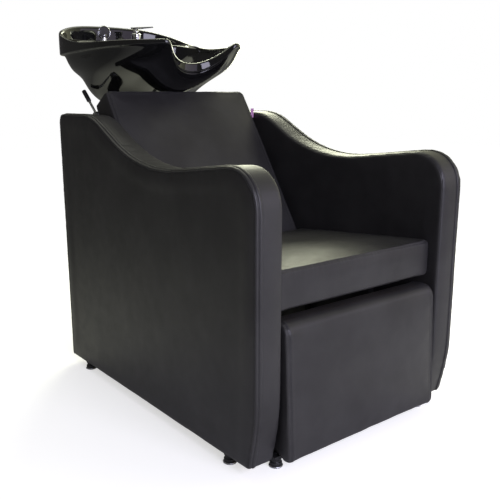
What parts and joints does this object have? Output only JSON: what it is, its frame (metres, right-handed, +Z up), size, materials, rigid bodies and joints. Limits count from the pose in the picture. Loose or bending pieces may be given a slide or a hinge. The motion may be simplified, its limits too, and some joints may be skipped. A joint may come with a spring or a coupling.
{
  "type": "hair washing bed",
  "caption": "Black upholstered salon armchair with a swing-up legrest and a tilting glossy black wash basin with mixer tap and hand shower behind the backrest.",
  "frame": {"origin": "on the floor under the middle of the whole unit's bounding box", "axes": "+Z up, -Y towards the sitter's feet, +Y towards the basin, X across the chair"},
  "size_m": [0.7, 1.2697, 1.082],
  "materials": {
    "black_leatherette": "satin grained leatherette with topstitched seams",
    "label_fabric": "plain woven tab",
    "plywood": "bare birch plywood",
    "black_board": "black laminated board",
    "black_frame": "black powder coat",
    "zinc_steel": "zinc plated steel",
    "black_plastic": "moulded, fine grain",
    "grey_plastic": "moulded, fine grain",
    "nylon": "turned nylon",
    "white_pipe": "waste pipe plastic",
    "brass": "turned brass",
    "black_ceramic": "glossy black glaze on fired ceramic",
    "chrome": "polished chrome",
    "spray_plastic": "dark spray plate"
  },
  "bodies": {
    "root": {"arm_pad_left": "black_leatherette", "arm_pad_right": "black_leatherette", "seat_cushion": "black_leatherette", "back_cushion": "black_leatherette", "fabric_label": "label_fabric", "arm_core_left": "plywood", "arm_core_right": "plywood", "seat_board": "plywood", "panel_cleats": "plywood", "rear_panel": "black_board", "back_board": "black_board", "base_rails": "black_frame", "cross_rails": "black_frame", "seat_posts": "black_frame", "seat_rails": "black_frame", "back_posts": "black_frame", "foot_tabs": "black_frame", "legrest_posts": "black_frame", "basin_column": "black_frame", "pivot_bracket": "black_frame", "actuator_bracket": "black_frame", "arm_bolts": "zinc_steel", "panel_screws": "zinc_steel", "tilt_pin": "zinc_steel", "foot_rings": "zinc_steel", "levelling_feet": "black_plastic", "actuator_housing": "black_plastic", "actuator_gearbox": "black_plastic", "actuator_motor": "black_plastic", "control_box": "black_plastic", "control_plate": "black_plastic", "waste_outlet": "black_plastic", "power_inlet": "black_plastic", "legrest_bushes": "nylon", "water_inlets": "brass"},
    "legrest": {"legrest_pad": "black_leatherette", "legrest_board": "plywood", "legrest_shaft": "zinc_steel", "legrest_hinges": "black_frame", "legrest_crank": "black_frame"},
    "actuator_rod": {"actuator_rod": "zinc_steel", "rod_pin": "zinc_steel"},
    "basin": {"basin": "black_ceramic", "basin_cradle": "black_frame", "cradle_bolts": "zinc_steel", "waste_flange": "chrome", "waste_tail": "white_pipe", "mixer_body": "chrome", "mixer_nut": "zinc_steel", "shower_holder": "chrome"},
    "tilt_lever": {"tilt_lever": "zinc_steel", "lever_grip": "black_plastic"},
    "mixer_cap": {"mixer_cap": "chrome"},
    "mixer_lever": {"mixer_lever": "chrome"},
    "hand_shower": {"hand_shower": "chrome", "spray_face": "spray_plastic"},
    "strainer": {"strainer": "chrome"},
    "button_up": {"button_up": "grey_plastic"},
    "button_down": {"button_down": "grey_plastic"}
  },
  "joints": [
    {"name": "legrest_swing", "type": "hinge", "parent": "root", "child": "legrest", "pos_m": [0, -0.53573, 0.25], "axis": [-1, 0, 0], "range_deg": [0, 78]},
    {"name": "actuator_stroke", "type": "slide", "parent": "root", "child": "actuator_rod", "axis": [0, -1, 0], "range_m": [0, 0.0771]},
    {"name": "basin_tilt", "type": "hinge", "parent": "root", "child": "basin", "pos_m": [0, 0.35527, 0.78], "axis": [-1, 0, 0], "range_deg": [0, 12]},
    {"name": "tilt_lock", "type": "hinge", "parent": "root", "child": "tilt_lever", "pos_m": [0, 0.35527, 0.78], "axis": [-1, 0, 0], "range_deg": [0, 50]},
    {"name": "mixer_turn", "type": "hinge", "parent": "basin", "child": "mixer_cap", "pos_m": [0.06, 0.55627, 1.052], "axis": [0, 0, 1], "range_deg": [-45, 45]},
    {"name": "mixer_lift", "type": "hinge", "parent": "mixer_cap", "child": "mixer_lever", "pos_m": [0.06, 0.55627, 1.0648], "axis": [-0.866, -0.5, 0], "range_deg": [0, 25]},
    {"name": "handset_lift", "type": "slide", "parent": "basin", "child": "hand_shower", "axis": [0, 0, 1], "range_m": [0, 0.12]},
    {"name": "strainer_lift", "type": "slide", "parent": "basin", "child": "strainer", "axis": [0, 0, 1], "range_m": [0, 0.03]},
    {"name": "button_up_press", "type": "slide", "parent": "root", "child": "button_up", "axis": [0, -1, 0], "range_m": [0, 0.002], "stiffness_N_per_m": 400, "springref_m": -0.002},
    {"name": "button_down_press", "type": "slide", "parent": "root", "child": "button_down", "axis": [0, -1, 0], "range_m": [0, 0.002], "stiffness_N_per_m": 400, "springref_m": -0.002}
  ],
  "couplings": [
    {"joint": "actuator_stroke", "follows": "legrest_swing", "m_per_rad": 0.0565}
  ]
}
